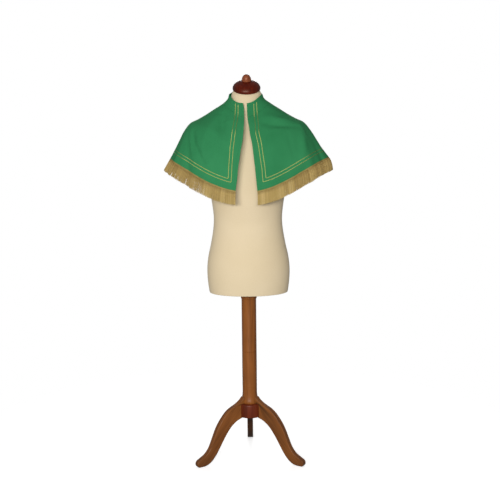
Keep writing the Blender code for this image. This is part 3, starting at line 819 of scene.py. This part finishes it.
def unit(vectors):
    return vectors / np.linalg.norm(vectors, axis=-1, keepdims=True)


# Where the gold is painted in shade, nearly to the cloth's green, as it catches no light there: by the neck,
# and above the hem at both sides.
# Each place is an angle and a down, then half its reach in both.
SHADED_BRAID = [(0, 40, 60, 40), (-94, 275, 38, 60), (84, 275, 44, 60)]


def braid_shading(angles, downs):
    """From 0, bright, to 1, in painted shade, for places on the cape."""
    share = np.zeros_like(downs)
    for angle, down, half_angle, half_down in SHADED_BRAID:
        turn = np.degrees(wrapped(angles - math.radians(angle))) / half_angle
        drop = (downs - down) / half_down
        inside = 1 - np.maximum(np.abs(turn), np.abs(drop))
        share = np.maximum(share, np.clip(inside * 3, 0, 1))
    return share


# Braid of gilt thread, plaited at a slant on both sides of its groove, with painted shade in places.
finish = Finish("gold_braid")
along, across, _ = finish.stored("lay")
plait = ((along + across.size() * 0.9) * (math.tau / 0.0013)).sine()
fleck = finish.noise(finish.place(), 900.0)
tone = finish.noise(finish.together(along * 25.0, 0.0), 1.0)
colour = finish.mix(tone.over(0.3, 0.7), (188, 202, 120), (202, 216, 140))
colour = finish.mix((plait * 0.5 + 0.5) * 0.3, colour, (140, 156, 78))
# Painted shade: the braid darkened nearly to the cloth's green where it catches no light.
dull, _, _ = finish.stored("dull")
colour = finish.mix(dull * 0.85, colour, (100, 150, 84))
gold_braid = finish.paint(
    Base_Color=colour,
    Metallic=0.5,
    Roughness=0.4 + fleck * 0.15,
    Normal=finish.bump(plait * 0.6 + fleck * 0.4, 0.0002),
)
braids = []
for node, pitch_in in (("braid_outer", 0), ("braid_inner", BRAID_PITCH)):
    angles, downs, reach = even_steps(*u_line(pitch_in), BRAID_STEP)
    centre = cape_place(angles, downs, 0.0)
    out = normals_of(folded_cape, angles, downs)
    ahead = unit(np.gradient(centre, axis=0))
    side = unit(np.cross(out, ahead))
    rings = [
        centre + side * (across * BRAID_WIDTH / 2) + out * (up * BRAID_THICK)
        for across, up in BRAID_PROFILE
    ]
    points, faces = lofted(np.stack(rings, axis=1) * MM)
    braid = new_piece(node + "_line", points, faces, gold_braid, "gold_braid", node)
    lay = np.zeros((len(reach), len(BRAID_PROFILE), 3))
    lay[..., 0] = reach[:, None]
    lay[..., 1] = [across * BRAID_WIDTH / 2 for across, _ in BRAID_PROFILE]
    store(braid, "lay", lay.reshape(-1, 3) * MM)
    # How deep the braid's painted shade is at each point.
    store(braid, "dull", np.repeat(braid_shading(angles, downs), 3 * len(BRAID_PROFILE)))
    braids.append(braid)

# The machine stitches that hold the turned-in edges: green thread, each stitch a short float that dips
# into the cloth at both ends. They run down both fronts, round the hem and round the collar.
STITCH_PITCH = 3.3
STITCH_FLOAT = 2.7
STITCH_RADIUS = 0.24
STITCH_LINE_STEP = 0.5
STITCH_HEIGHTS = [-0.35, 0.06, 0.16, 0.06, -0.35]
SEAM_CLEAR = 0.004  # radians, from the last stitch of a hem to the shoulder seam


def tubes(centres, beside, radii, sides, twist=0.0, flat=1.0):
    """Points and faces of many thin closed tubes.

    centres holds the tubes' lines, beside a direction across each; radii go along a tube. flat is the
    second radius of its section against the first, and twist the section's turn, in radians.
    """
    count, rings = centres.shape[:2]
    ahead = unit(np.gradient(centres, axis=1))
    beside = unit(beside - ahead * (beside * ahead).sum(-1, keepdims=True))
    above = np.cross(ahead, beside)
    turn = np.broadcast_to(twist, (count, rings))[..., None, None]
    round_it = (math.tau * np.arange(sides) / sides)[:, None]
    wide = np.cos(turn) * beside[:, :, None] + np.sin(turn) * above[:, :, None]
    thin = np.cos(turn) * above[:, :, None] - np.sin(turn) * beside[:, :, None]
    section = np.cos(round_it) * wide + flat * np.sin(round_it) * thin
    points = centres[:, :, None] + section * np.broadcast_to(radii, (count, rings))[..., None, None]
    return shells(points)


finish = Finish("green_thread")
tone = finish.noise(finish.place(), 300.0)
green_thread = finish.paint(
    Base_Color=finish.mix(tone, (38, 112, 66), (60, 142, 90)),
    Roughness=0.55,
    Normal=finish.bump(finish.noise(finish.place(), 4000.0), 0.0001),
)


def stitched(name, lines):
    """Stitches along lines on the cloth; each line is its angles and its downs."""
    centres, beside = [], []
    for angles, downs in lines:
        angles, downs, reach = even_steps(angles, downs, STITCH_LINE_STEP)
        line_angles = np.unwrap(angles)
        firsts = np.arange(STITCH_PITCH / 2, reach[-1] - STITCH_PITCH, STITCH_PITCH)
        at = firsts[:, None] + np.linspace(0, STITCH_FLOAT, len(STITCH_HEIGHTS))
        angle = wrapped(np.interp(at, reach, line_angles))
        down = np.interp(at, reach, downs)
        height = np.array(STITCH_HEIGHTS) + HEM_LIFT / 2
        centres.append(cape_place(angle, down, height))
        beside.append(np.cross(normals_of(folded_cape, angle, down), np.gradient(centres[-1], axis=1)))
    points, faces = tubes(np.concatenate(centres), np.concatenate(beside), STITCH_RADIUS, 5)
    return new_piece(name, points * MM, faces, green_thread, "green_cloth")


def edge_line(side, top, bottom):
    downs = np.linspace(top, bottom, 400)
    return at_inset(side, STITCH_INSET, downs), downs


def level_line(start, end, down):
    angles = np.linspace(start, end, 1500)
    return angles, np.full_like(angles, down)


hem_row = CAPE_LENGTH - STITCH_INSET
collar_row = COLLAR_TOP + STITCH_INSET
stitches = {}
for side, name in ((-1, "right_front"), (1, "left_front")):
    corner = at_inset(side, STITCH_INSET, hem_row)
    to_seam = side * (math.pi / 2 - SEAM_CLEAR)
    lines = [edge_line(side, 1.5, hem_row), level_line(corner, to_seam, hem_row)]
    stitches[name] = stitched(name + "_stitches", lines)
back_hem = level_line(math.pi / 2 + SEAM_CLEAR, 1.5 * math.pi - SEAM_CLEAR, hem_row)
stitches["back"] = stitched("back_stitches", [back_hem])
collar_ends = [at_inset(side, STITCH_INSET, collar_row) for side in (-1, 1)]
collar_lines = [edge_line(side, collar_row, -1.5) for side in (-1, 1)]
collar_lines.append(level_line(collar_ends[0], collar_ends[1] - math.tau, collar_row))
stitches["collar"] = stitched("collar_stitches", collar_lines)

# The fringe: fine gold bullion, each strand a twisted thread, held by a narrow woven heading that is
# sewn behind the hem. The strands cling in uneven clumps and hang a little more upright than the cloth.
HEAD_TOP = CAPE_LENGTH + 0.4
HEAD_END = HEAD_TOP + 5.5
HEAD_PROFILE = [  # down, and out from the cloth's outer face
    (-4.5, -1.70), (-0.9, -1.70), (0.1, -1.10), (0.7, -0.10), (1.8, 0.35), (2.9, 0.00), (4.0, 0.35),
    (5.2, 0.05), (5.8, -0.60), (5.6, -1.70), (3.5, -2.30), (-4.5, -2.30),
]
HEAD_CORDS = {4: 0.0, 6: 1.6}  # the profile's raised points, and how the plait is shifted there
HEAD_PLAIT = 3.3
HEAD_STEP = 0.8
FRINGE_PITCH = 0.8
FRINGE_TUCK = 0.8  # how far a strand's root reaches up into the heading
FRINGE_LENGTH = 49
FRINGE_SPREAD = 1.1
FRINGE_LONGER = 3.5
FRINGE_LAYERS = np.array([-0.35, -1.15, -1.95])
FRINGE_RINGS = 14
FRINGE_RADIUS = 1.1
FRINGE_FLAT = 0.82
FRINGE_TWIST = 20
FOLLOW_RIGHT = 1.2
FOLLOW_LEFT = 0.5
FOLLOW_MIDDLE = 0.45
CLUMP_WIDTH = (7, 21)

finish = Finish("gold_fringe")
tone, along, _ = finish.stored("strand")
# Painted shade under the heading: each strand darker near its root.
shade_under_heading = 1 - along.over(0.0, 0.016)
stops = (0.0, (136, 108, 52)), (0.4, (180, 151, 88)), (0.75, (200, 173, 106)), (1.0, (222, 198, 140))
colour = finish.ramp(tone, *stops)
ply = (along * (math.tau / 0.0011)).sine()
fleck = finish.noise(finish.place(), 1500.0)
colour = finish.mix(fleck.over(0.4, 0.7) * 0.35, colour, (210, 190, 134))
fringe_gold = finish.paint(
    Base_Color=finish.mix(shade_under_heading * 0.45, colour, (120, 94, 44)),
    Metallic=0.1,
    Roughness=0.45 + fleck * 0.2,
    Specular_IOR_Level=0.3,
    Normal=finish.bump(ply * 0.5 + fleck * 0.5, 0.00015),
)
finish = Finish("fringe_heading")
place = finish.place()
fleck = finish.noise(place, 1200.0)
tone = finish.noise(place, 60.0)
colour = finish.mix(tone.over(0.3, 0.7), (150, 128, 68), (172, 150, 84))
heading_gold = finish.paint(
    Base_Color=finish.mix(fleck * 0.3, colour, (112, 92, 46)),
    Metallic=0.1,
    Roughness=0.55 + fleck * 0.2,
    Normal=finish.bump(fleck, 0.0002),
)
hem_start = at_inset(-1, 0, CAPE_LENGTH)
hem_end = at_inset(1, 0, CAPE_LENGTH) - math.tau
chance = np.random.default_rng(11)


def hem_part(start, end):
    """Angles an even step apart along the heading's lower edge, and the distances to them."""
    angles = np.linspace(start, end, 3000)
    return angles, distances(cape_place(wrapped(angles), HEAD_END, 0.0))


def heading_piece(name, start, end):
    angles, reach = hem_part(start, end)
    places = np.linspace(0, reach[-1], round(reach[-1] / HEAD_STEP))
    angle = wrapped(np.interp(places, reach, angles))
    rings = []
    for number, (down, out) in enumerate(HEAD_PROFILE):
        raised = 0.0
        if number in HEAD_CORDS:
            raised = 0.22 * np.sin(math.tau * (places + HEAD_CORDS[number]) / HEAD_PLAIT)
        rings.append(cape_place(angle, CAPE_LENGTH + down, out + raised))
    points, faces = lofted(np.stack(rings, axis=1) * MM)
    return new_piece(name, points, faces, heading_gold, "gold_fringe", "hem_fringe")


def strands(name, start, end):
    angles, reach = hem_part(start, end)
    count = round(reach[-1] / FRINGE_PITCH)
    place = (np.arange(count) + 0.5) * reach[-1] / count + chance.uniform(-0.3, 0.3, count)
    angle = wrapped(np.interp(place, reach, angles))

    edges = [0.0]
    while edges[-1] < reach[-1]:
        edges.append(edges[-1] + chance.uniform(*CLUMP_WIDTH))
    edges = np.array(edges)
    clump = np.searchsorted(edges, place) - 1
    clump_middle = (edges[clump] + edges[clump + 1]) / 2
    draws = chance.uniform(-1, 1, (6, len(edges)))[:, clump]
    own = chance.uniform(-1, 1, (6, count))

    layer = FRINGE_LAYERS[np.arange(count) % len(FRINGE_LAYERS)]
    root = cape_place(angle, HEAD_END - FRINGE_TUCK, layer)
    above = cape_place(angle, HEAD_TOP, layer)
    cloth_way = unit(root - above)
    side_share = root[:, 0] ** 2 / (root[:, 0] ** 2 + root[:, 1] ** 2)
    follow_side = np.where(root[:, 0] < 0, FOLLOW_RIGHT, FOLLOW_LEFT)
    follow = (follow_side * side_share + FOLLOW_MIDDLE * (1 - side_share))[:, None]
    way = unit(cloth_way * follow + np.array([0, 0, -1.0]) * (FOLLOW_RIGHT - follow))
    along_hem = unit(np.gradient(cape_place(angle, HEAD_END, 0.0), axis=0))
    outward = unit(np.cross(along_hem, way))
    outward *= np.sign((outward * root * [1, 1, 0]).sum(-1, keepdims=True))

    length = FRINGE_LENGTH + FRINGE_TUCK + FRINGE_LONGER * np.sin(math.pi * side_share)
    length += FRINGE_SPREAD * (0.6 * draws[0] + 0.55 * own[0])
    pull = (0.015 + 0.02 * draws[1]) * (clump_middle - place) + 0.22 * draws[2] + 0.3 * own[1]
    swing = 0.9 * draws[3] + 0.5 * own[2] + 0.6 * (layer + 1.15)
    tip = root + way * length[:, None] + along_hem * pull[:, None] + outward * swing[:, None]
    bend = root + cloth_way * (0.36 * length[:, None]) + outward * (0.5 * own[3, :, None])
    t = np.linspace(0, 1, FRINGE_RINGS)[None, :, None]
    centres = root[:, None] * (1 - t) ** 2 + bend[:, None] * 2 * t * (1 - t) + tip[:, None] * t**2
    waver = np.sin(t[..., 0] * (5 + 2 * own[4, :, None]) + 3 * own[5, :, None]) * 0.35 * t[..., 0]
    centres += along_hem[:, None] * waver[..., None]

    share = np.linspace(0, 1, FRINGE_RINGS)
    radii = FRINGE_RADIUS * np.interp(share, [0, 0.12, 0.9, 0.975, 1.0], [0.75, 1.0, 1.0, 0.85, 0.35])
    radii = radii * (1 + 0.12 * own[4, :, None])
    twist = math.tau * (share * FRINGE_LENGTH / FRINGE_TWIST)[None] + 3.0 * own[2, :, None]
    points, faces = tubes(centres, along_hem[:, None], radii, 4, twist, FRINGE_FLAT)
    piece = new_piece(name, points * MM, faces, fringe_gold, "gold_fringe", "hem_fringe")
    # Each strand's tone varies at random by clump and strand, with painted shade: darker towards the cape's
    # sides and on the inner layers.
    tone = 0.66 - 0.34 * side_share + 0.2 * draws[4] + 0.22 * own[0] + 0.12 * (layer + 1.15)
    shade = np.zeros((count, FRINGE_RINGS, 4, 3))
    shade[..., 0] = np.clip(tone, 0, 1)[:, None, None]
    shade[..., 1] = (share * FRINGE_LENGTH * MM)[None, :, None]
    store(piece, "strand", shade.reshape(-1, 3))
    return piece


seam_right, seam_left = -math.pi / 2, -1.5 * math.pi
hem_parts = {
    "right_front": (hem_start, seam_right),
    "back": (seam_right, seam_left),
    "left_front": (seam_left, hem_end),
}
headings = {part: heading_piece(part + "_heading", *ends) for part, ends in hem_parts.items()}
fringes = {part: strands(part + "_fringe", *ends) for part, ends in hem_parts.items()}

# The cut of each panel before it was hung, as the rectangle that it was cut from and its own area.
for panel, part, flat, area in (
    (right_front, "right_front", (0.330, 0.359), 0.084),
    (left_front, "left_front", (0.346, 0.366), 0.088),
    (back, "back", (0.712, 0.357), 0.182),
    (stand_collar, "collar", (0.575, 0.047), 0.025),
):
    sewn_on = [made[part] for made in (stitches, headings, fringes) if part in made]
    if panel is back:
        sewn_on += braids

# The studio: a pale floor that runs into a white surround, with broad soft lamps in front and a little
# above, and the camera a little above the shoulders, looking slightly down.
floor_mesh = bpy.data.meshes.new("floor")
floor_work = bmesh.new()
bmesh.ops.create_circle(floor_work, cap_ends=True, segments=96, radius=1.4)
floor_work.to_mesh(floor_mesh)
floor_work.free()
floor = bpy.data.objects.new("floor", floor_mesh)
bpy.context.scene.collection.objects.link(floor)
floor_finish = Finish("floor")
floor_tone = floor_finish.noise(floor_finish.place(), 1.5)
floor_x, floor_y, _ = floor_finish.along(floor_finish.place())
floor_reach = (floor_x * floor_x + floor_y * floor_y) ** 0.5
floor_mesh.materials.append(
    floor_finish.paint(
        Base_Color=floor_finish.mix(floor_tone, (246, 246, 246), (250, 250, 250)),
        Roughness=0.9,
        Emission_Color=(255, 255, 255),
        Emission_Strength=0.55,
        Alpha=1 - floor_reach.over(0.45, 1.3),
    )
)
floor.visible_diffuse = False
floor.visible_glossy = False

world = bpy.data.worlds.new("surround")
bpy.context.scene.world = world
world.use_nodes = True
surround = world.node_tree.nodes["Background"]
surround.inputs["Color"].default_value = (1.0, 1.0, 1.0, 1.0)
rays = world.node_tree.nodes.new("ShaderNodeLightPath")
strength = world.node_tree.nodes.new("ShaderNodeMapRange")
strength.inputs["To Min"].default_value = 0.24
strength.inputs["To Max"].default_value = 1.0
world.node_tree.links.new(rays.outputs["Is Camera Ray"], strength.inputs["Value"])
world.node_tree.links.new(strength.outputs["Result"], surround.inputs["Strength"])


def soft_lamp(name, place, target, width, height, power):
    lamp_data = bpy.data.lights.new(name, "AREA")
    lamp_data.shape = "RECTANGLE"
    lamp_data.size = width
    lamp_data.size_y = height
    lamp_data.energy = power
    lamp = bpy.data.objects.new(name, lamp_data)
    lamp.location = place
    lamp.rotation_euler = (Vector(target) - Vector(place)).to_track_quat("-Z", "Y").to_euler()
    bpy.context.scene.collection.objects.link(lamp)


soft_lamp("front_lamp", (-0.6, -4.4, 1.7), (0, 0, 1.1), 2.6, 0.6, 160)
soft_lamp("back_lamp", (0.0, 4.6, 2.6), (0, 0, 1.0), 2.0, 2.0, 90)

CAMERA_AWAY = 3.6
CAMERA_ASIDE = 0.0069
CAMERA_HEIGHT = 1.4
CAMERA_DIP = 8.54  # degrees below level
CAMERA_TURN = -0.605
CAMERA_LENS = 65.52
camera_data = bpy.data.cameras.new("camera")
camera_data.sensor_width = 36
camera_data.lens = CAMERA_LENS
camera = bpy.data.objects.new("camera", camera_data)
dip = Matrix.Rotation(math.radians(90 - CAMERA_DIP), 4, "X")
turn = Matrix.Rotation(math.radians(CAMERA_TURN), 4, "Z")
stand_point = Matrix.Translation((CAMERA_ASIDE, AXIS_Y - CAMERA_AWAY, CAMERA_HEIGHT))
camera.matrix_world = stand_point @ dip @ turn
bpy.context.scene.collection.objects.link(camera)
bpy.context.scene.camera = camera
bpy.context.scene.view_settings.view_transform = "Standard"
